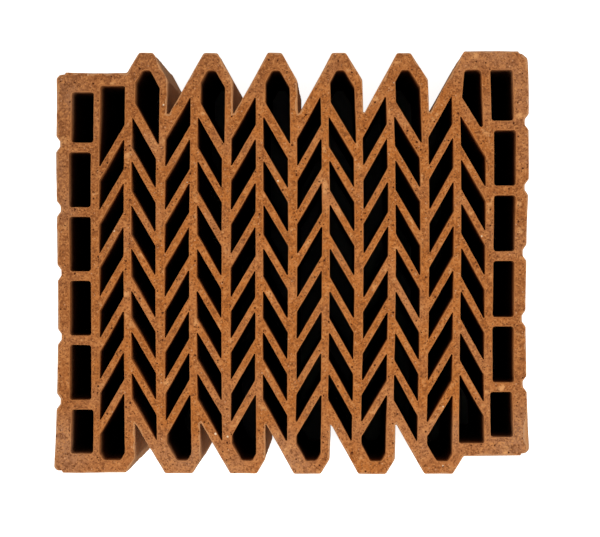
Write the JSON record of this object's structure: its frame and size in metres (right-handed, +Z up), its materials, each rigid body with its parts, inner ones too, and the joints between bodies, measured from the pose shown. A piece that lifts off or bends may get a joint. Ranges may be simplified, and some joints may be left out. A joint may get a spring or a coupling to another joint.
{
  "type": "hollow clay block",
  "caption": "Fired clay wall block with upright herringbone cells, rectangular edge cells, toothed interlocking ends and plaster keys down both faces.",
  "frame": {"origin": "middle of the lower bed face, on the floor", "axes": "+Z up along the cells, +X across the wall between the plaster faces, +Y along the course"},
  "size_m": [0.295, 0.265, 0.238],
  "materials": {
    "fired_clay": "matt, sandy, unglazed"
  },
  "bodies": {
    "root": {"clay_block": "fired_clay"}
  },
  "joints": []
}
